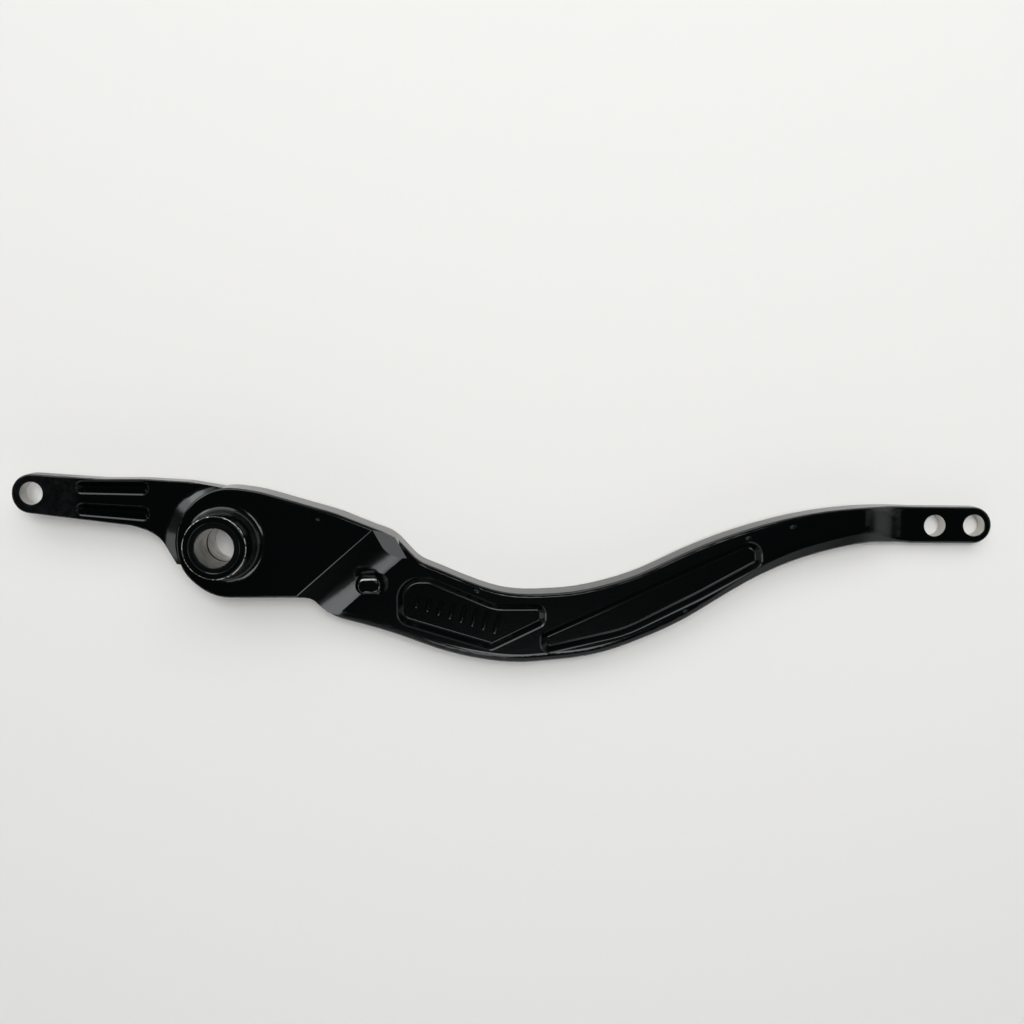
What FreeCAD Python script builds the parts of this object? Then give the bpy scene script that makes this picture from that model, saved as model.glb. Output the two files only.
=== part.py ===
# Foot brake lever arm: one casting, and two plain bushes pressed into its pivot.
#
# Millimetres. The origin is on the pivot axis at the hub's back face, which is also the
# level the lever lies on. +Z runs along the pivot towards the lever's front, +X towards
# the foot end, and +Y to the side the arm bows away from.

import FreeCAD
import Part
import Sketcher

import math
import os

doc = FreeCAD.newDocument("brake_lever")

# ---------------------------------------------------------------------------- sizes
SIZES = {
    # pivot hub and its bushes
    "hub_length": 30, "bore_dia": 14, "bush_wall": 2, "bush_outer_dia": "=bore_dia + 2 * bush_wall",
    "bush_recess": 0.3, "bush_gap": 1, "inner_bush_length": "=0.4 * hub_length",
    "outer_bush_length": "=hub_length - bush_recess - bush_gap - inner_bush_length",
    "bush_chamfer": 0.3, "mouth_chamfer": 0.25,
    "boss_wall": 2.4, "boss_front_radius": "=bush_outer_dia / 2 + boss_wall",
    "boss_back_radius": "=boss_front_radius + 2.1", "boss_fillet": 3, "boss_edge": 0.6,
    # the web round the hub
    "web_bottom": 5, "web_top": 16, "web_edge": 1.2,
    # the step from the web down to the arm: a slope square to the ridge line
    "ridge_angle": 41, "ridge_offset": 32.1, "ridge_round": 0.9, "step_angle": 22.5,
    "step_foot_radius": 30, "step_dip": 0.03,
    "facet_angle": 24, "facet_top_y": 5, "facet_start_x": 46,
    # arm
    "arm_front": 11, "draft_angle": 4, "arm_edge": 1.3, "arm_back_edge": 0.8,
    "bevel_softness": 1.2,
    "toe_radius": 7.4, "toe_thick": 6, "toe_y": 5,
    "toe_inner_x": 270.5, "toe_outer_x": 286, "link_hole_dia": 8.3, "hole_chamfer": 0.3,
    # short arm
    "tab_bottom": 7.2, "tab_top": 13.6, "rod_x": -70.5, "rod_y": 18.7, "tab_radius": 7.1,
    "channel_depth": 2.8, "channel_wall": 1.6, "ramp_foot_radius": 22.6,
    "ramp_head_radius": 17.8, "ramp_round": 7, "tab_edge": 0.8,
    # stop lug
    "lug_x": 53.4, "lug_y": -15.8, "lug_top": "=arm_front + 7",
    "lug_foot_length": 16.6, "lug_foot_width": 10.4, "lug_waist_length": 10.4,
    "lug_waist_width": 7, "lug_top_length": 8.8, "lug_top_width": 5.8, "lug_edge": 1,
    # sunk panels in the arm's front
    "panel_depth": 3, "panel_wall": 2, "panel_fillet": 0.9,
    "panel_rim": 0.45, "rim_angle": 48,
    "second_panel_start": "=arm_front - 3.8", "second_panel_lean": 1.77,
}

# The arm's sections, from the hub to the foot end: x, upper edge y, lower edge y (both at
# the back face), back face z, front face z, and the width and depth of the lower bevel.
STATIONS = [
    (36, 12.8, -26.2, 0, "=arm_front", 2.4, 1.4),
    (40, 11.6, -29.3, 0, "=arm_front", 2.4, 1.4),
    (45, 10.0, -30.9, 0, "=arm_front", 2.4, 1.4),
    (54, 6.2, -33.4, 0, "=arm_front", 2.4, 1.4),
    (62, 2.9, -35.9, 0, "=arm_front", 2.4, 1.4),
    (66.5, -1.4, -37.5, 0, "=arm_front", 2.4, 1.4),
    (71, -6.0, -39.2, 0, "=arm_front", 2.4, 1.4),
    (77, -9.0, -41.4, 0, "=arm_front", 2.4, 1.4),
    (86, -12.8, -44.1, 0, "=arm_front", 2.4, 1.5),
    (95, -16.3, -46.0, 0, "=arm_front", 2.4, 1.6),
    (103, -18.6, -47.1, 0, "=arm_front", 2.4, 1.6),
    (111, -19.5, -47.4, 0, "=arm_front", 2.4, 1.6),
    (120, -19.4, -46.8, 0, "=arm_front", 2.4, 1.6),
    (130, -18.6, -45.8, 0.2, "=arm_front + 0.1", 2.4, 1.6),
    (141, -16.4, -43.7, 0.7, "=arm_front + 0.3", 2.4, 1.6),
    (155, -11.9, -38.8, 1.5, "=arm_front + 0.8", 2.4, 1.6),
    (170, -4.9, -32.0, 2.4, "=arm_front + 1.4", 2.6, 1.7),
    (185, 1.4, -23.1, 3.2, "=arm_front + 2", 3.2, 2.0),
    (200, 6.3, -14.5, 3.8, "=arm_front + 2.4", 4.4, 2.6),
    (215, 10.0, -8.1, 4.2, "=arm_front + 2.6", 5.2, 3.0),
    (230, 12.3, -3.8, 4.4, "=arm_front + 2.6", 5.2, 3.0),
    (243, 13.2, -1.6, 3.8, "=arm_front + 1.6", 4.8, 2.6),
    (249, 13.2, -1.6, 2.0, "=toe_thick + 3.6", 3.2, 1.8),
    (255, 13.0, -1.8, 0.4, "=toe_thick + 0.9", 1.6, 1.1),
    ("=toe_inner_x - 8.5", "=toe_y + toe_radius + 0.3", "=toe_y - toe_radius + 0.2", 0,
     "=toe_thick", 0.9, 0.9),
    ("=toe_outer_x", "=toe_y + toe_radius", "=toe_y - toe_radius", 0, "=toe_thick", 0.9, 0.9),
]

# Outlines at the front faces, as corners with the radius that rounds each: x, y, radius.
OUTLINES = {
    "web": [
        (-17.6, 23.6, 20), (-17.6, -9.9, 18.2), (-4.1, -20.2, 18.2), (31.4, -20.4, 5.8),
        (37.4, -26.5, 2.5), (57.5, -31, 0), (65.2, -16, 0), (67.1, -7.5, 1.5), (62.8, 2, 1.5),
        (58.1, 4.4, 9), (40.7, 11.3, 60), (12.9, 19.4, 60),
    ],
    "short_arm": [
        (0, 20.6, 0), (-13, 22.8, 0), (-30, 23.9, 60), (-45, 23.9, 60),
        ("=rod_x - tab_radius", "=rod_y + tab_radius + 0.4", "=tab_radius - 0.2"),
        ("=rod_x - tab_radius", "=rod_y - tab_radius + 0.5", "=tab_radius - 0.2"),
        (-34, 6.6, 18), (-24.5, 3.3, 14), (-17.5, -7.6, 0), (0, -8, 0),
    ],
    "upper_channel": [(-54, 18.9, 1.9), (-54, 22.9, 1.9), (-28, 22.8, 1.9), (-28, 18.3, 1.9)],
    "lower_channel": [(-54, 14.8, 1.9), (-54, 10.9, 1.9), (-28, 8.6, 1.9), (-28, 13.3, 1.9)],
    "first_panel": [
        (63.4, -13.8, 8), (75.5, -13.9, 8), (100.5, -24.5, 14), (119.2, -24.5, 3.2),
        (119.2, -31.8, 3.6), (98.6, -41.6, 3.4), (63.4, -30.8, 5),
    ],
    "second_panel": [
        (117.8, -35.9, 2.6), (200.6, 1.6, 4.5), (201.4, -9.4, 3.4), (178, -22.2, 60),
        (150, -36.1, 50), (118, -43.4, 3.2),
    ],
}

sheet = doc.addObject("Spreadsheet::Sheet", "sizes")
row = 1


def put(alias, value):
    """One sheet row: the size's name, and its value under that alias."""
    global row
    sheet.set("A%d" % row, alias)
    sheet.set("B%d" % row, str(value))
    sheet.setAlias("B%d" % row, alias)
    row += 1


for alias, value in SIZES.items():
    put(alias, value)
STATION_WORDS = ("at_x", "upper_y", "lower_y", "back_z", "front_z", "bevel_width", "bevel_depth")
for number, station in enumerate(STATIONS, 1):
    for word, value in zip(STATION_WORDS, station):
        put("station_%d_%s" % (number, word), value)
for outline, corners in OUTLINES.items():
    for number, corner in enumerate(corners, 1):
        for word, value in zip(("x", "y", "round"), corner):
            put("%s_%d_%s" % (outline, number, word), value)
doc.recompute()


def size(alias):
    return float(getattr(sheet, alias))


# ---------------------------------------------------------------------------- sketches
def value_of(text):
    return float(sheet.evalExpression(text.replace("sizes.", "")))


def drive(sketch, constraint, name, text):
    """Add a dimension under a name, and bind it to the sheet."""
    index = sketch.addConstraint(constraint)
    sketch.renameConstraint(index, name)
    sketch.setExpression("Constraints." + name, text)


def polygon(sketch, corners):
    """A closed outline through corners given as (x text, y text, radius text or None)."""
    points = [FreeCAD.Vector(value_of(x), value_of(y), 0) for x, y, _ in corners]
    count = len(points)
    lines = [sketch.addGeometry(Part.LineSegment(points[i], points[(i + 1) % count]), False)
             for i in range(count)]
    for i in range(count):
        sketch.addConstraint(Sketcher.Constraint(
            "Coincident", lines[i], 2, lines[(i + 1) % count], 1))
    for i, (x, y, radius) in enumerate(corners):
        drive(sketch, Sketcher.Constraint("DistanceX", -1, 1, lines[i], 1, points[i].x),
              "x%d" % (i + 1), x)
        drive(sketch, Sketcher.Constraint("DistanceY", -1, 1, lines[i], 1, points[i].y),
              "y%d" % (i + 1), y)
    for i, (x, y, radius) in enumerate(corners):
        if radius is None:
            continue
        before = sketch.GeometryCount
        sketch.fillet(lines[i], 1, value_of(radius), True, True)
        arc = [g for g in range(before, sketch.GeometryCount)
               if isinstance(sketch.Geometry[g], Part.ArcOfCircle)][0]
        drive(sketch, Sketcher.Constraint("Radius", arc, value_of(radius)),
              "round%d" % (i + 1), radius)


def sheet_outline(sketch, name):
    """One of the sheet's outlines, its corners and their radii."""
    corners = []
    for number, corner in enumerate(OUTLINES[name], 1):
        cell = "sizes.%s_%d_" % (name, number)
        corners.append((cell + "x", cell + "y", cell + "round" if corner[2] else None))
    polygon(sketch, corners)


def new_sketch(name, turn=FreeCAD.Rotation(), **offsets):
    """An empty sketch, turned to its plane, with its place bound to the sheet."""
    sketch = doc.addObject("Sketcher::SketchObject", name)
    sketch.Placement = FreeCAD.Placement(FreeCAD.Vector(), turn)
    for axis, text in offsets.items():
        sketch.setExpression("Placement.Base." + axis, text)
    return sketch


def extrusion(name, sketch, direction, forward, back="0", taper="0", taper_back="0"):
    solid = doc.addObject("Part::Extrusion", name)
    solid.Base = sketch
    solid.DirMode = "Custom"
    solid.Dir = direction
    solid.Solid = True
    solid.setExpression("LengthFwd", forward)
    solid.setExpression("LengthRev", back)
    solid.setExpression("TaperAngle", taper)
    solid.setExpression("TaperAngleRev", taper_back)
    return solid


def combine(kind, name, *shapes):
    result = doc.addObject("Part::" + kind, name)
    if kind == "Cut":
        result.Base, result.Tool = shapes
    else:
        result.Shapes = list(shapes)
    return result


def rounded(name, solid, radius, chosen):
    """A copy of a solid with the edges that chosen() picks rounded to the sheet's radius."""
    result = doc.addObject("Part::Fillet", name)
    result.Base = solid
    result.Edges = [(number, size(radius), size(radius))
                    for number, edge in enumerate(solid.Shape.Edges, 1) if chosen(edge)]
    return result


def middle(edge):
    return edge.valueAt((edge.FirstParameter + edge.LastParameter) / 2)


def level(edge, height):
    """Whether an edge lies flat at a height."""
    points = [middle(edge)] + [vertex.Point for vertex in edge.Vertexes]
    return all(abs(point.z - height) < 0.01 for point in points)


UP = FreeCAD.Vector(0, 0, 1)
STAND_X = FreeCAD.Rotation(FreeCAD.Vector(1, 1, 1), 120)      # sketch x, y to world y, z
STAND_Y = FreeCAD.Rotation(FreeCAD.Vector(1, 0, 0), 90)       # sketch x, y to world x, z

# ---------------------------------------------------------------------------- main arm
sections = []
for number in range(1, len(STATIONS) + 1):
    cell = "sizes.station_%d_" % number
    slope = "tan(sizes.draft_angle)"
    rise = "(%sfront_z - %sback_z)" % (cell, cell)
    section = new_sketch("section_%d" % number, STAND_X, x=cell + "at_x")
    polygon(section, [
        (cell + "lower_y", cell + "back_z", "sizes.arm_back_edge"),
        (cell + "upper_y", cell + "back_z", "sizes.arm_back_edge"),
        ("%supper_y - %s * %s" % (cell, rise, slope), cell + "front_z", "sizes.arm_edge"),
        ("%slower_y + %s * %s + %sbevel_width" % (cell, rise, slope, cell),
         cell + "front_z", "sizes.bevel_softness * %sbevel_width" % cell),
        ("%slower_y + (%s - %sbevel_depth) * %s" % (cell, rise, cell, slope),
         "%sfront_z - %sbevel_depth" % (cell, cell), "sizes.arm_edge"),
    ])
    sections.append(section)
doc.recompute()


def loft(name, profiles, straight=False):
    """A solid through profiles, smooth or straight from each to the next."""
    solid = doc.addObject("Part::Loft", name)
    solid.Sections = profiles
    solid.Solid = True
    solid.Ruled = straight
    return solid


arm = loft("arm", sections[:-1])
toe = loft("toe", sections[-2:], straight=True)

toe_profile = new_sketch("toe_profile", STAND_Y)
polygon(toe_profile, [
    ("0", "0", None),
    ("sizes.toe_radius", "0", "sizes.arm_back_edge"),
    ("sizes.toe_radius - sizes.toe_thick * tan(sizes.draft_angle)", "sizes.toe_thick",
     "sizes.arm_edge"),
    ("0", "sizes.toe_thick", None),
])
toe_end = doc.addObject("Part::Revolution", "toe_end")
toe_end.Source = toe_profile
toe_end.Axis = UP
toe_end.Solid = True
toe_end.Angle = 180
toe_end.Placement.Rotation = FreeCAD.Rotation(UP, -90)
toe_end.setExpression("Placement.Base.x", "sizes.toe_outer_x")
toe_end.setExpression("Placement.Base.y", "sizes.toe_y")

# ---------------------------------------------------------------------------- web
web_plan = new_sketch("web_plan", z="sizes.web_top")
sheet_outline(web_plan, "web")
doc.recompute()
web_prism = extrusion("web_prism", web_plan, -UP, "sizes.web_top - sizes.web_bottom",
                      taper="sizes.draft_angle")
doc.recompute()
soft_web = rounded("soft_web", web_prism, "web_edge",
                   lambda edge: level(edge, size("web_top")))

# Side view of the step, in the plane square to the ridge line.
ridge_turn = FreeCAD.Rotation(UP, size("ridge_angle") - 90) * STAND_Y
step_profile = new_sketch("step_profile", ridge_turn)
polygon(step_profile, [
    ("-60", "-1", None),
    ("70", "-1", None),
    ("70", "sizes.arm_front - sizes.step_dip - 0.5", None),
    ("sizes.ridge_offset + (sizes.web_top - sizes.arm_front + sizes.step_dip)"
     " / tan(sizes.step_angle)", "sizes.arm_front - sizes.step_dip",
     "sizes.step_foot_radius"),
    ("sizes.ridge_offset", "sizes.web_top", "sizes.ridge_round"),
    ("-60", "sizes.web_top", None),
])
doc.recompute()
step_solid = extrusion("step_solid", step_profile, ridge_turn.multVec(UP), "90", "90")

facet_profile = new_sketch("facet_profile", STAND_X, x="sizes.facet_start_x")
polygon(facet_profile, [
    ("-15", "-1", None),
    ("30", "-1", None),
    ("30", "sizes.web_top + (30 - sizes.facet_top_y) * tan(sizes.facet_angle)", None),
    ("-15", "sizes.web_top - (sizes.facet_top_y + 15) * tan(sizes.facet_angle)", None),
])
doc.recompute()
facet_solid = extrusion("facet_solid", facet_profile, FreeCAD.Vector(1, 0, 0), "30")
doc.recompute()
heights = combine("MultiFuse", "heights", step_solid, facet_solid)
web = combine("MultiCommon", "web", soft_web, heights)
doc.recompute()

# ---------------------------------------------------------------------------- hub, lug
hub = doc.addObject("Part::Cone", "hub")
hub.setExpression("Radius1", "sizes.boss_back_radius")
hub.setExpression("Radius2", "sizes.boss_front_radius")
hub.setExpression("Height", "sizes.hub_length")


def slot(name, length, width, height):
    """A rounded rectangle round the lug's centre, at a height."""
    sketch = new_sketch(name, z=height)
    polygon(sketch, [("sizes.lug_x %s %s / 2" % (sx, length), "sizes.lug_y %s %s / 2" % (sy, width),
                      "0.45 * " + width)
                     for sx, sy in (("-", "-"), ("+", "-"), ("+", "+"), ("-", "+"))])
    return sketch


lug_foot = slot("lug_foot", "sizes.lug_foot_length", "sizes.lug_foot_width",
                "sizes.arm_front - 1.5")
lug_waist = slot("lug_waist", "sizes.lug_waist_length", "sizes.lug_waist_width",
                 "sizes.arm_front + 1.6")
lug_head = slot("lug_head", "sizes.lug_top_length", "sizes.lug_top_width", "sizes.lug_top")
doc.recompute()
lug = loft("lug", [lug_foot, lug_waist, lug_head])
doc.recompute()
soft_lug = rounded("soft_lug", lug, "lug_edge", lambda edge: level(edge, size("lug_top")))

# ---------------------------------------------------------------------------- short arm
short_plan = new_sketch("short_plan", z="sizes.tab_top")
sheet_outline(short_plan, "short_arm")
ramp_profile = new_sketch("ramp_profile", STAND_Y)
polygon(ramp_profile, [
    ("0", "sizes.web_bottom + 3", None),
    ("sizes.ramp_foot_radius + 6", "sizes.web_bottom + 3", None),
    ("sizes.ramp_foot_radius + 6", "sizes.tab_top - 0.4", None),
    ("sizes.ramp_foot_radius", "sizes.tab_top - 0.15", "sizes.ramp_round"),
    ("sizes.ramp_head_radius", "sizes.web_top - 0.2", None),
    ("0", "sizes.web_top - 0.2", None),
])
doc.recompute()
short_prism = extrusion("short_prism", short_plan, -UP, "sizes.tab_top - sizes.tab_bottom",
                        taper="sizes.draft_angle")
short_column = extrusion("short_column", short_plan, UP, "sizes.web_top - sizes.tab_top",
                         back="sizes.tab_top - sizes.tab_bottom")
ramp = doc.addObject("Part::Revolution", "ramp")
ramp.Source = ramp_profile
ramp.Axis = UP
ramp.Angle = 360
ramp.Solid = True
doc.recompute()
short_arm = rounded("short_arm", short_prism, "tab_edge",
                    lambda edge: level(edge, size("tab_top")))
short_ramp = combine("MultiCommon", "short_ramp", short_column, ramp)
doc.recompute()

# ---------------------------------------------------------------------------- sunk shapes
panels = []
for name, depth, wall, top, lean in (
        ("upper_channel", "sizes.channel_depth", "sizes.channel_wall", "sizes.tab_top", "0"),
        ("lower_channel", "sizes.channel_depth", "sizes.channel_wall", "sizes.tab_top", "0"),
        ("first_panel", "sizes.panel_depth", "sizes.panel_wall", "sizes.arm_front", "0"),
        ("second_panel", "sizes.panel_depth", "sizes.panel_wall", "sizes.second_panel_start",
         "sizes.second_panel_lean")):
    tilt = FreeCAD.Rotation(FreeCAD.Vector(0, 1, 0), -value_of(lean))
    top += " - sizes.panel_rim"
    depth += " - sizes.panel_rim"
    plan = new_sketch(name + "_plan", tilt, z=top)
    sheet_outline(plan, name)
    doc.recompute()
    narrow = name.endswith("channel")
    hollow = extrusion(name + ("" if narrow else "_hollow"), plan, tilt.multVec(-UP), depth,
                       "2", "-atan(%s / (%s))" % (wall, depth), "sizes.rim_angle")
    doc.recompute()
    if narrow:                                  # its floor is too narrow to round
        panels.append(hollow)
        continue
    floor = value_of(top) * tilt.multVec(UP).z - value_of(depth)
    panels.append(rounded(name, hollow, "panel_fillet", lambda edge: all(
        abs(point.dot(tilt.multVec(UP)) - floor) < 0.01
        for point in [middle(edge)] + [vertex.Point for vertex in edge.Vertexes])))


def post(name, radius, x, y, bottom, top):
    """A round tool along Z."""
    tool = doc.addObject("Part::Cylinder", name)
    tool.setExpression("Radius", radius)
    tool.setExpression("Placement.Base.x", x)
    tool.setExpression("Placement.Base.y", y)
    tool.setExpression("Placement.Base.z", bottom)
    tool.setExpression("Height", "%s - (%s)" % (top, bottom))
    return tool


bush_bore = post("bush_bore", "sizes.bush_outer_dia / 2", "0", "0", "-1", "sizes.hub_length + 1")
rod_hole = post("rod_hole", "sizes.link_hole_dia / 2", "sizes.rod_x", "sizes.rod_y",
                "0", "sizes.tab_top + 2")
toe_inner = post("toe_hole_inner", "sizes.link_hole_dia / 2", "sizes.toe_inner_x",
                 "sizes.toe_y", "-1", "sizes.toe_thick + 2")
toe_outer = post("toe_hole_outer", "sizes.link_hole_dia / 2", "sizes.toe_outer_x",
                 "sizes.toe_y", "-1", "sizes.toe_thick + 2")
doc.recompute()

solid_lever = combine("MultiFuse", "solid_lever", arm, toe, toe_end, web,
                      short_arm, short_ramp, hub, soft_lug)
sunk = combine("MultiFuse", "sunk", *panels)
drilled = combine("MultiFuse", "drilled", bush_bore, rod_hole, toe_inner, toe_outer)
doc.recompute()
panelled = combine("Cut", "panelled", solid_lever, sunk)
blank = combine("Cut", "blank", panelled, drilled)
doc.recompute()

# ---------------------------------------------------------------------------- the casting
body = doc.addObject("PartDesign::Body", "lever_casting")
body.Label = "lever_casting"
body.BaseFeature = blank
doc.recompute()


def soften(name, kind, bound, radius, chosen):
    """A PartDesign fillet or chamfer on the body's edges that chosen() picks."""
    base = body.Tip
    names = ["Edge%d" % number for number, edge in enumerate(base.Shape.Edges, 1)
             if chosen(edge)]
    feature = body.newObject("PartDesign::" + kind, name)
    feature.Base = (base, names)
    feature.setExpression(bound, radius)
    doc.recompute()
    return feature


def circle_at(edge, x, y, z, radius=None):
    """Whether an edge is a circle with this centre, and this radius if one is given."""
    if not isinstance(edge.Curve, Part.Circle):
        return False
    centre = edge.Curve.Center
    near = (centre - FreeCAD.Vector(x, y, z)).Length < 0.05
    return near and (radius is None or abs(edge.Curve.Radius - radius) < 0.05)


soften("boss_blend", "Fillet", "Radius", "sizes.boss_fillet",
       lambda edge: circle_at(edge, 0, 0, size("web_top")))
soften("boss_rim", "Fillet", "Radius", "sizes.boss_edge",
       lambda edge: circle_at(edge, 0, 0, size("hub_length"), size("boss_front_radius")))
soften("bore_mouths", "Chamfer", "Size", "sizes.mouth_chamfer",
       lambda edge: circle_at(edge, 0, 0, size("hub_length"), size("bush_outer_dia") / 2)
       or circle_at(edge, 0, 0, 0, size("bush_outer_dia") / 2))


def at_corner(edge, points):
    """Whether an edge runs up a hole's mouth: a circle round one of these centres."""
    return any(circle_at(edge, *point) for point in points)


soften("hole_mouths", "Chamfer", "Size", "sizes.hole_chamfer", lambda edge: at_corner(edge, [
    (size("rod_x"), size("rod_y"), size("tab_top")),
    (size("rod_x"), size("rod_y"), size("tab_bottom")),
    (size("toe_inner_x"), size("toe_y"), size("toe_thick")),
    (size("toe_inner_x"), size("toe_y"), 0),
    (size("toe_outer_x"), size("toe_y"), size("toe_thick")),
    (size("toe_outer_x"), size("toe_y"), 0)]))

# ---------------------------------------------------------------------------- bushes


def bush(name, bottom, length, back_bevel=True):
    """A plain bush: a ring with its ends chamfered, and its bore sharp at a flush end."""
    profile = new_sketch(name + "_profile", STAND_Y, z=bottom)
    outer, inner, bevel = "sizes.bush_outer_dia / 2", "sizes.bore_dia / 2", "sizes.bush_chamfer"
    back = [(inner, bevel, None), (inner + " + " + bevel, "0", None)]
    polygon(profile, (back if back_bevel else [(inner, "0", None)]) + [
        (outer + " - " + bevel, "0", None),
        (outer, bevel, None),
        (outer, length + " - " + bevel, None),
        (outer + " - " + bevel, length, None),
        (inner + " + " + bevel, length, None),
        (inner, length + " - " + bevel, None),
    ])
    ring = doc.addObject("Part::Revolution", name)
    ring.Label = name
    ring.Source = profile
    ring.Axis = UP
    ring.Angle = 360
    ring.Solid = True
    return ring


outer_bush = bush("outer_pivot_bush",
                  "sizes.hub_length - sizes.bush_recess - sizes.outer_bush_length",
                  "sizes.outer_bush_length")
inner_bush = bush("inner_pivot_bush", "0", "sizes.inner_bush_length", back_bevel=False)
doc.recompute()

# ---------------------------------------------------------------------------- check, export
for thing in doc.Objects:
    if "Invalid" in thing.State or "Error" in thing.State:
        raise RuntimeError("%s is not right: %s" % (thing.Name, thing.State))

os.makedirs("parts", exist_ok=True)
for part in (body, outer_bush, inner_bush):
    if part.Shape.isNull() or not part.Shape.isValid() or len(part.Shape.Solids) != 1:
        raise RuntimeError("%s is not one good solid" % part.Label)
    part.Shape.exportStep("parts/%s.step" % part.Label)
    print(part.Label, "%.0f mm3" % part.Shape.Volume, part.Shape.BoundBox)
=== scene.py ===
# %% [markdown]
# # A foot brake lever, cast in one piece and painted black
# This notebook dresses a finished engineering model of a foot brake lever: one long
# casting with a raised pivot hub, and two plain bushes pressed into the hub. The frame
# holds the true shapes and sizes, so nothing here moves or bends them. What is made here
# is the light, the paint and the bare metal, and the small things that a foundry and a
# spray gun leave behind: raised casting marks, beads of paint and worn edges.

# %% Load the fixed frame
import math

import bmesh
import bpy
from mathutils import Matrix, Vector


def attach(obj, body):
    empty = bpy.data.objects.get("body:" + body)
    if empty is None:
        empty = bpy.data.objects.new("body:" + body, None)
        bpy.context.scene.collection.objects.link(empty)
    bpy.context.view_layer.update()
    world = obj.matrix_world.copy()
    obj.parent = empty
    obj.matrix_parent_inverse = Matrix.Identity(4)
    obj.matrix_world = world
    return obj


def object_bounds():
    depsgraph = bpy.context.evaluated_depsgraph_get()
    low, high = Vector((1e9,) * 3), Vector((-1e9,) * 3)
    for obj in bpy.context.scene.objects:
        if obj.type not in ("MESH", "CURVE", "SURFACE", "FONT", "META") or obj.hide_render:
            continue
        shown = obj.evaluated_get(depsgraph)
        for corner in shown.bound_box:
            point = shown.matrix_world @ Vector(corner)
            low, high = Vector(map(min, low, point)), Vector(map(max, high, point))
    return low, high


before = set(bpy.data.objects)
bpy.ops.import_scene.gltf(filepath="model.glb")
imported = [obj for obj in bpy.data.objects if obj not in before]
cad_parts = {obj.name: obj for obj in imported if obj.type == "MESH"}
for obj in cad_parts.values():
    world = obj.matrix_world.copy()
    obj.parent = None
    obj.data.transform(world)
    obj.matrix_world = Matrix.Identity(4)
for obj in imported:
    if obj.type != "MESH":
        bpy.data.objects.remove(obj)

MM = 0.001
cad_box = [list(corner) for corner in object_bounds()]
print("frame nodes:", sorted(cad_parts), "box in mm:",
      [[round(value / MM, 1) for value in corner] for corner in cad_box])

# %% [markdown]
# ## The camera
# The lever lies flat on a table and is seen from above. A long lens from far away would
# flatten it, and the real view is a near one: the hub's side shows, and the far edges of
# the arm lean out. So the camera stands only 386 mm above the table, a little to the left
# of the lever's middle, and its view leans about five degrees from straight down.

# %% Place the camera
SENSOR_WIDTH = 36           # mm, all taken by the picture's width
FOCAL_LENGTH = 35.156       # mm, a plain wide-normal lens
CAMERA_PLACE = (94.64, 41.89, 386.0)            # mm
CAMERA_TURN = (-4.688, -1.827, 0)               # degrees from straight down
camera = bpy.data.objects.new("camera", bpy.data.cameras.new("camera"))
bpy.context.collection.objects.link(camera)
camera.data.sensor_width = SENSOR_WIDTH
camera.data.lens = FOCAL_LENGTH
camera.location = Vector(CAMERA_PLACE) * MM
camera.rotation_euler = [math.radians(turn) for turn in CAMERA_TURN]
bpy.context.scene.camera = camera
bpy.context.scene.view_settings.view_transform = "Standard"
print("camera", FOCAL_LENGTH, "mm at", [round(v / MM, 1) for v in camera.location])

# %% [markdown]
# ## Shader maths as plain sums
# A material is a web of small nodes. Wiring each one by hand hides the idea, so one small
# class wraps a node's output and lets it be added, taken away and multiplied like a
# number. Every other kind of node comes from a single method, `node`, which takes the
# node's type, its settings, and the values or links of its sockets.

# %% A wrapper for sockets
class Wire:
    """One output of a node, which does sums by adding Math nodes."""

    def __init__(self, tree, output):
        self.tree, self.output = tree, output

    def node(self, kind, settings=(), sockets=(), output=0):
        """A new node: its settings first, then its sockets' values or links."""
        made = self.tree.nodes.new(kind)
        for name, value in dict(settings).items():
            setattr(made, name, value)
        for name, value in dict(sockets).items():
            if isinstance(value, Wire):
                self.tree.links.new(value.output, made.inputs[name])
            else:
                made.inputs[name].default_value = value
        return Wire(self.tree, made.outputs[output])

    def sum_with(self, operation, first, second, clamp=False):
        """A Math node of any operation; clamp keeps its result between 0 and 1."""
        return self.node("ShaderNodeMath", {"operation": operation, "use_clamp": clamp},
                         {0: first, 1: second})

    def __add__(self, other):
        return self.sum_with("ADD", self, other)

    __radd__ = __add__

    def __sub__(self, other):
        return self.sum_with("SUBTRACT", self, other)

    def __rsub__(self, other):
        return self.sum_with("SUBTRACT", other, self)

    def __mul__(self, other):
        return self.sum_with("MULTIPLY", self, other)

    __rmul__ = __mul__

    def step(self, low, high):
        """0 at low, 1 at high, and a smooth rise between them."""
        return self.node("ShaderNodeMapRange", {"interpolation_type": "SMOOTHSTEP"},
                         {"Value": self, "From Min": low, "From Max": high})

    def mix(self, first, second):
        """A colour: the first where this is 0, and the second where it is 1."""
        return self.node("ShaderNodeMix", {"data_type": "RGBA"},
                         {"Factor": self, 6: first, 7: second}, 2)


print("wrapper ready:", [name for name in vars(Wire) if not name.startswith("__")])

# %% [markdown]
# ## The room's light
# Gloss black shows no colour of its own. All that is seen on it is a mirror image of the
# room, so the room is the real subject. Overhead it is dark, which is why the flat faces
# look black. Lower down all round it is pale, and that wraps the rounded edges in thin
# light lines. The sky of the scene does this with one rule: how bright it is depends only
# on how high it is.

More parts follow.
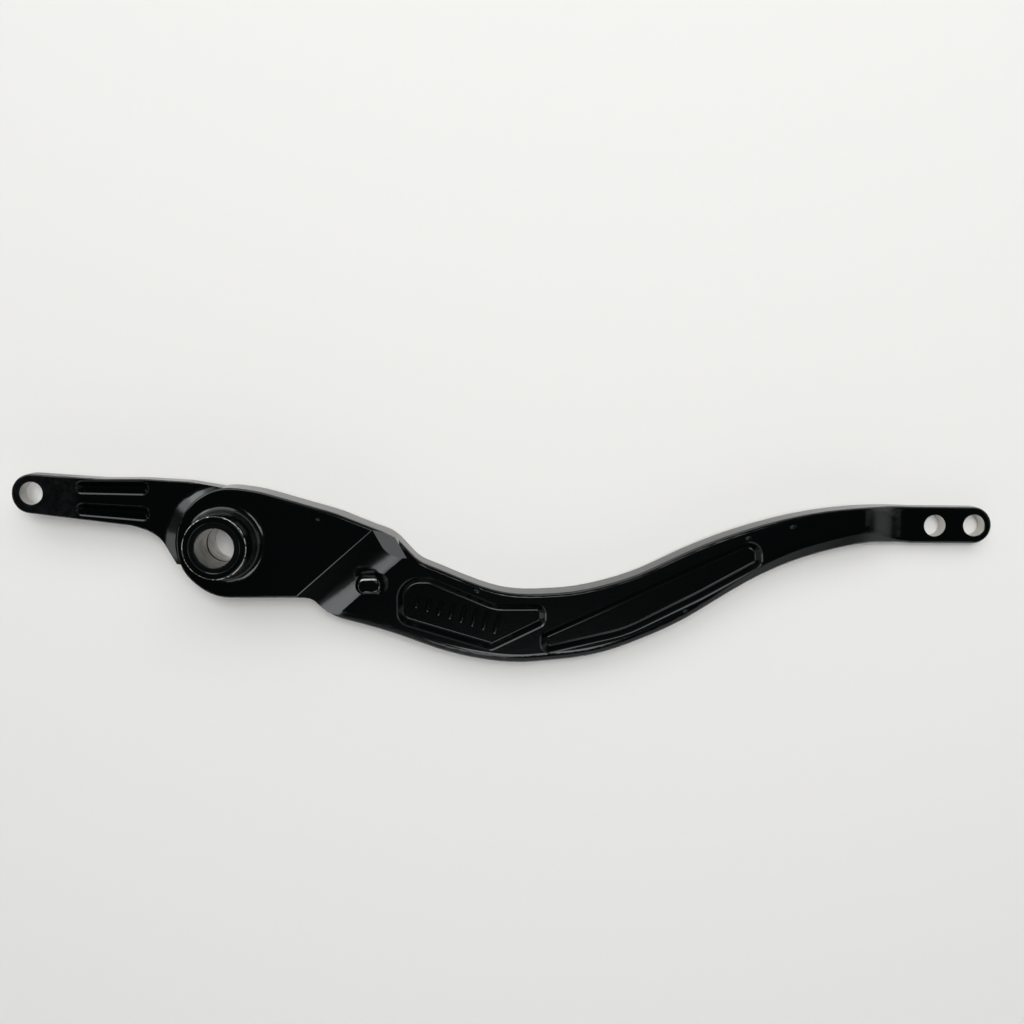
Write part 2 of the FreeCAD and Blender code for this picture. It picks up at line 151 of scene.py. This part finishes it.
# %% Darken the ceiling and keep the walls pale
WALL_LIGHT, CEILING_LIGHT = 0.55, 0.010
CEILING_STARTS, CEILING_FULL = 0.16, 0.50       # sine of the height above the horizon
ROOM_COLOUR = (0.97, 0.985, 1, 1)
world = bpy.data.worlds.new("room")
bpy.context.scene.world = world
world.use_nodes = True
room = Wire(world.node_tree, None)
direction = room.node("ShaderNodeTexCoord", output="Generated")
height = room.node("ShaderNodeSeparateXYZ", sockets={0: direction}, output="Z")
darkening = height.step(CEILING_STARTS, CEILING_FULL)
strength = WALL_LIGHT - darkening * (WALL_LIGHT - CEILING_LIGHT)
background = world.node_tree.nodes["Background"]
background.inputs["Color"].default_value = ROOM_COLOUR
world.node_tree.links.new(strength.output, background.inputs["Strength"])
print("room light: walls", WALL_LIGHT, "ceiling", CEILING_LIGHT)

# %% [markdown]
# ## The studio lamps
# Two kinds of soft panel hang round the table. The wide ones light the board and throw
# the shadow, and the paint doesn't mirror them. The others are there only to be mirrored:
# each is a pale card, hung where one curve or slope of the casting looks at it. Both are
# placed by how far they lean from straight overhead, to the right and to the back.

# %% Hang the soft panels
REACH = 1.5                 # metres from the lever to each panel
CARD_TINT, DAYLIGHT = (0.96, 0.985, 1.0), (1.0, 0.995, 0.98)


def soft_panel(name, aim, lean_right, lean_back, width, height, brightness, mirrored=True,
               colour=CARD_TINT):
    """A panel facing the point aim in mm, leaning and as large as these angles say."""
    lean = math.radians(math.hypot(lean_right, lean_back))
    turn = math.atan2(lean_back, lean_right)
    away = Vector((math.sin(lean) * math.cos(turn), math.sin(lean) * math.sin(turn),
                   math.cos(lean)))
    lamp = bpy.data.lights.new(name, "AREA")
    lamp.shape = "RECTANGLE"
    lamp.size = 2 * REACH * math.tan(math.radians(width / 2))
    lamp.size_y = 2 * REACH * math.tan(math.radians(height / 2))
    lamp.energy = brightness * math.pi * lamp.size * lamp.size_y
    lamp.color = colour
    holder = bpy.data.objects.new(name, lamp)
    bpy.context.collection.objects.link(holder)
    holder.location = Vector(aim) * MM + away * REACH
    holder.rotation_euler = away.to_track_quat("Z", "Y").to_euler()
    holder.visible_glossy = mirrored
    holder.visible_diffuse = not mirrored


soft_panel("window", (110, 0, 0), 0, 46, 70, 34, 2.15, False, DAYLIGHT)
soft_panel("skylight", (110, 0, 0), 3, 12, 28, 28, 9.0, False, DAYLIGHT)
soft_panel("front_fill", (110, 0, 0), 0, -58, 60, 30, 0.45, False, DAYLIGHT)
soft_panel("overhead_card", (10, 5, 17), 9, 10, 16, 16, 3.8)
soft_panel("front_high_card", (45, -25, 11), 4, -30, 17, 25, 3.6)
soft_panel("front_low_card", (58, 0, 13), -7, -54, 15, 18, 2.2)
soft_panel("left_back_card", (-11, 19, 15), -51, 37, 24, 24, 2.6)
soft_panel("left_card", (-20, 3, 15), -71, -11, 20, 26, 1.3)
soft_panel("back_card", (110, 0, 10), -30, 62, 56, 27, 2.0)
soft_panel("right_card", (230, 0, 10), 62, 10, 24, 40, 0.35)

# %% [markdown]
# ## The table
# A plain matt board. It carries the soft shadow that shows how high each part of the
# lever stands, and it is mirrored in every wall of the lever that leans outwards.

# %% Lay the table
TABLE_SIZE = 12             # metres, so that its edge is never near
bpy.ops.object.select_all(action="DESELECT")
bpy.ops.mesh.primitive_plane_add(size=TABLE_SIZE, location=(0.1, 0, cad_box[0][2]))
table = bpy.context.object
table.name = "table"
board = bpy.data.materials.new("pale_board")
board.use_nodes = True
paint = board.node_tree.nodes["Principled BSDF"]
paint.inputs["Base Color"].default_value = (0.80, 0.80, 0.79, 1)
paint.inputs["Roughness"].default_value = 0.7
paint.inputs["Specular IOR Level"].default_value = 0.2
table.data.materials.append(board)
print("table at", round(cad_box[0][2] / MM, 2), "mm")

# %% [markdown]
# ## Black gloss paint over a casting
# The paint is nearly black and smooth, so its look is all in how it mirrors. Sprayed paint
# is never quite flat: a very shallow bump about 2 mm across makes each mirrored edge waver,
# and a finer one stands for dust. On the rod tab no one smoothed the casting, so the skin
# left by the sand shows through the paint: it is rougher, a little paler and mottled.
#
# Paint is missing where a bolt or a press has rubbed. The walls of the three small holes
# are bare metal, and the rim of the hub and the edge of the lug are chipped. Each worn
# place is found by its distance from an axis or by its height, and then broken up by a
# grain, so that no chip has a ruled outline.

# %% Start a material
def new_finish(name):
    """A material with a plain shader: its starting wire, its shader and its place."""
    material = bpy.data.materials.new(name)
    material.use_nodes = True
    tree = material.node_tree
    shader = tree.nodes["Principled BSDF"]
    start = Wire(tree, None)
    place = start.node("ShaderNodeTexCoord", output="Object")
    return material, shader, start, place


def feed(shader, **wires):
    """Link wires to the shader's sockets, with _ for each space in a socket's name."""
    for name, wire in wires.items():
        wire.tree.links.new(wire.output, shader.inputs[name.replace("_", " ")])


def ring_distance(start, place, x, y):
    """How far a point is from an upright axis at x, y, in metres."""
    level = start.node("ShaderNodeVectorMath", {"operation": "MULTIPLY"},
                       {0: place, 1: (1, 1, 0)})
    return start.node("ShaderNodeVectorMath", {"operation": "DISTANCE"},
                      {0: level, 1: (x * MM, y * MM, 0)}, "Value")


def grain(start, place, size_mm, detail=2.0, roughness=0.5):
    """Soft random bumps about this large."""
    return start.node("ShaderNodeTexNoise", {},
                      {"Vector": place, "Scale": 1 / (size_mm * MM), "Detail": detail,
                       "Roughness": roughness})


# %% Mix the black paint
PAINT_COLOUR = (0.0010, 0.0015, 0.0016, 1)
SKIN_COLOUR = (0.0036, 0.0042, 0.0046, 1)       # where the rod tab's sand skin is paler
WORN_COLOUR = (0.60, 0.58, 0.55, 1)             # bare metal
TAB_STARTS, TAB_FULL = 0.052, 0.056             # m, how far left of the pivot
RIM_RADIUS = (0.01112, 0.01118)                 # m, where the hub's worn edge starts
RIM_LEVEL = (0.02945, 0.02955)
LUG_STARTS, LUG_LEVEL, LUG_TOP = (0.044, 0.045), (0.0170, 0.0173), (0.01785, 0.01795)
HOLES = ((-70.5, 18.7), (270.5, 5), (286, 5))   # mm, the axes of the small holes
HOLE_RADIUS = 4.15          # mm, so the chamfer outside it stays painted

black_paint, shader, start, place = new_finish("black_paint")
shader.inputs["IOR"].default_value = 1.5
across = start.node("ShaderNodeSeparateXYZ", sockets={0: place}, output="X")
upward = start.node("ShaderNodeSeparateXYZ", sockets={0: place}, output="Z")
orange_peel = grain(start, place, 2.2)
fine_dust = grain(start, place, 0.5)

rough_tab = (-1 * across).step(TAB_STARTS, TAB_FULL)
cast_skin = start.node("ShaderNodeTexVoronoi", {"feature": "SMOOTH_F1"},
                       {"Vector": place, "Scale": 1 / (1.5 * MM), "Smoothness": 0.6})
mottle = grain(start, place, 2.6, 3, 0.6).step(0.42, 0.64)
skin = (rough_tab * mottle).mix(PAINT_COLOUR, SKIN_COLOUR)

hub_edge = ring_distance(start, place, 0, 0).step(*RIM_RADIUS) * upward.step(*RIM_LEVEL)
hub_wear = grain(start, place, 2.4, 4, 0.6).step(0.49, 0.53)
lug_edge = (across.step(*LUG_STARTS) * upward.step(*LUG_LEVEL)
            * (1 - upward.step(*LUG_TOP)))
lug_wear = grain(start, place, 3.0, 4, 0.6).step(0.52, 0.56)
bare = hub_edge * hub_wear + lug_edge * lug_wear
for x, y in HOLES:
    painted = ring_distance(start, place, x, y).step((HOLE_RADIUS + 0.03) * MM,
                                                     (HOLE_RADIUS + 0.06) * MM)
    bare = start.sum_with("MAXIMUM", bare, 1 - painted, True)

bumps = orange_peel * 0.45 + fine_dust * 0.05 + rough_tab * cast_skin * 9
feed(shader,
     Base_Color=bare.mix(skin, WORN_COLOUR),
     Metallic=bare,
     Roughness=0.10 + bare * 0.25 + rough_tab * 0.12 + fine_dust * 0.05,
     Normal=start.node("ShaderNodeBump", {},
                       {"Strength": 1.0, "Distance": 0.02 * MM, "Height": bumps}))
print("black paint:", len(black_paint.node_tree.nodes), "nodes")

# %% [markdown]
# ## Turned steel for the bushes
# The bores were turned and have worn against a shaft. A noise that changes only with
# height gives rings that run all the way round, as a tool leaves them. Slow brown stains
# lie over them, and a band of the metal next to the gap between the two bushes is painted
# dark: a painted shade for the shadow in that gap. The front face of the outer bush was
# sprayed along with the hub, so it is black.

# %% Mix the bush steel
CLEAN_STEEL, STAINED_STEEL = (0.66, 0.65, 0.62, 1), (0.42, 0.40, 0.36, 1)
# A painted shade: a dark colour laid on the steel by the gap between the bushes, where shadow
# falls.
GAP_SHADE = (0.05, 0.04, 0.03, 1)
GAP_SHADE_FROM, GAP_SHADE_TO = (0.0112, 0.0120), (0.0130, 0.0138)     # m above the table
PAINT_FROM = (0.02918, 0.02924)

bush_steel, shader, start, place = new_finish("bush_steel")
upward = start.node("ShaderNodeSeparateXYZ", sockets={0: place}, output="Z")
rings = start.node("ShaderNodeTexNoise", {"noise_dimensions": "1D"},
                   {"W": upward, "Scale": 1600, "Detail": 3})
stains = grain(start, place, 5, 3).step(0.35, 0.75)
painted_end = upward.step(*PAINT_FROM)
# Painted shade: the steel is darkened in a band by the gap between the two bushes.
gap_shade = upward.step(*GAP_SHADE_FROM) * (1 - upward.step(*GAP_SHADE_TO))
metal = gap_shade.mix(stains.mix(CLEAN_STEEL, STAINED_STEEL), GAP_SHADE)
feed(shader,
     Base_Color=painted_end.mix(metal, PAINT_COLOUR),
     Metallic=1 - painted_end,
     Roughness=0.34 + rings * 0.15 - painted_end * 0.2,
     Normal=start.node("ShaderNodeBump", {},
                       {"Strength": 0.8, "Distance": 0.03 * MM, "Height": rings}))
print("bush steel:", len(bush_steel.node_tree.nodes), "nodes")

# %% [markdown]
# ## Dressing the engineering model
# The frame's own meshes are kept as they are, since every curve and hole in them is true
# to the design. They only change their materials: the casting wears the paint, and both
# bushes wear the steel.

# %% Dress the frame's own nodes
for node, finish in (("lever_casting", black_paint), ("outer_pivot_bush", bush_steel),
                     ("inner_pivot_bush", bush_steel)):
    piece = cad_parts[node]
    for slot in piece.material_slots:
        slot.material = finish
    print(node, "wears", finish.name, "in", len(piece.material_slots), "slot")

# %% [markdown]
# ## The foundry's marks
# The floor of the first sunk panel carries marks that stand up from the metal, because
# they were cut into the mould. Here they are plain tally bars, with no letters. One bar is
# modelled with care: a block whose top is drawn in so that it would leave the mould, and
# whose edges are rounded as cast metal's are. The others are copies, each with its own
# mesh, set along a line and leaning with it.

# %% Tools for modelling
SHARP_ANGLE = 40            # degrees; edges sharper than this stay sharp


def added(operator, name, **settings):
    """Run an operator that adds a primitive, with nothing else selected."""
    bpy.ops.object.select_all(action="DESELECT")
    operator(**settings)
    piece = bpy.context.object
    piece.name = name
    return piece


def pick_faces(piece, chosen):
    """In edit mode, select just the faces that chosen() picks by centre and normal."""
    bpy.ops.mesh.select_all(action="DESELECT")
    mesh = bmesh.from_edit_mesh(piece.data)
    for face in mesh.faces:
        face.select_set(chosen(face.calc_center_median(), face.normal))
    bmesh.update_edit_mesh(piece.data)


def put_down(piece):
    """Move a piece's place into its mesh, so that its object sits at the origin."""
    bpy.ops.object.select_all(action="DESELECT")
    piece.select_set(True)
    bpy.context.view_layer.objects.active = piece
    bpy.ops.object.transform_apply(location=True, rotation=True, scale=True)


def joined(pieces, name, finish):
    """One piece made of several, smooth but for its sharp edges, riding the lever."""
    bpy.ops.object.select_all(action="DESELECT")
    for piece in pieces:
        piece.select_set(True)
    bpy.context.view_layer.objects.active = pieces[0]
    bpy.ops.object.join()
    whole = bpy.context.object
    whole.name = name
    bpy.ops.object.shade_smooth_by_angle(angle=math.radians(SHARP_ANGLE))
    whole.data.materials.clear()
    whole.data.materials.append(finish)
    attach(whole, "root")
    print(name, len(whole.data.polygons), "faces")
    return whole


# %% Model one bar and copy it along the panel
BAR_WIDTH, BAR_HEIGHT, BAR_SUNK = 1.4, 0.60, 0.25       # mm, as is all below
FLOOR_LEVEL = 8.0
FIRST_BAR, LAST_BAR, BARS = (70.5, -23.4), (101.0, -32.0), 8
SHORT_BAR, LONG_BAR = 4.2, 7.4
DRAWN_IN, DRAWN_UP, EDGE_ROUND = 0.12, 0.06, 0.30
BAR_TURN = -16              # degrees, the lean of the line that they stand on
bars = []
for number in range(BARS):
    along = number / (BARS - 1)
    x = FIRST_BAR[0] + along * (LAST_BAR[0] - FIRST_BAR[0])
    y = FIRST_BAR[1] + along * (LAST_BAR[1] - FIRST_BAR[1])
    length = SHORT_BAR + along * (LONG_BAR - SHORT_BAR)
    tall = BAR_HEIGHT + BAR_SUNK
    middle = FLOOR_LEVEL + BAR_HEIGHT / 2 - BAR_SUNK / 2
    bar = added(bpy.ops.mesh.primitive_cube_add, "bar", size=MM,
                location=Vector((x, y, middle)) * MM, rotation=(0, 0, math.radians(BAR_TURN)),
                scale=(BAR_WIDTH, length, tall))
    put_down(bar)
    bpy.ops.object.mode_set(mode="EDIT")
    pick_faces(bar, lambda centre, normal: normal.z > 0.9)
    bpy.ops.mesh.inset(thickness=DRAWN_IN * MM)
    bpy.ops.transform.translate(value=(0, 0, DRAWN_UP * MM))
    bpy.ops.mesh.select_all(action="SELECT")
    bpy.ops.mesh.bevel(offset=EDGE_ROUND * MM, segments=4, affect="EDGES")
    bpy.ops.object.mode_set(mode="OBJECT")
    bars.append(bar)
cast_marks = joined(bars, "cast_marks", black_paint)

# %% [markdown]
# ## Beads of paint
# Where the spray ran thick it gathered in small beads at the edges. A ball would look
# stuck on, so each bead is a ball whose underside is cut away, pressed flat and drawn
# out along the edge that it hangs on.

# %% Model one bead and copy it to each place
BEADS = [                   # x, y, height and radius in mm, and degrees along the edge
    (53.4, -0.2, 13.15, 0.95, -40), (93.4, -19.0, 10.95, 0.8, -20),
    (195.9, 1.2, 13.2, 0.8, 25), (212.8, 5.4, 13.55, 0.9, 20),
    (172.5, -26.6, 12.1, 0.8, 30), (34.7, 8.8, 15.95, 0.6, 0),
]
CUT_LEVEL = -0.2            # as a part of the radius, from the ball's middle
PRESSED = (1.5, 0.8, 0.55)  # how far each way is stretched or pressed
beads = []
for x, y, z, radius, turn in BEADS:
    bead = added(bpy.ops.mesh.primitive_uv_sphere_add, "bead", segments=20, ring_count=12,
                 radius=radius * MM, location=(0, 0, 0))
    bpy.ops.object.mode_set(mode="EDIT")
    bpy.ops.mesh.bisect(plane_co=(0, 0, CUT_LEVEL * radius * MM), plane_no=(0, 0, 1),
                        use_fill=True, clear_inner=True)
    bpy.ops.mesh.select_all(action="SELECT")
    bpy.ops.transform.resize(value=PRESSED)
    bpy.ops.object.mode_set(mode="OBJECT")
    bead.location = Vector((x, y, z)) * MM
    bead.rotation_euler.z = math.radians(turn)
    put_down(bead)
    beads.append(bead)
paint_beads = joined(beads, "paint_beads", black_paint)

# %% [markdown]
# ## The last step
# The marks and beads lie within the casting's own outline, so nothing added makes the
# lever larger than it was designed.

# %% Update the scene and finish
bpy.context.view_layer.update()
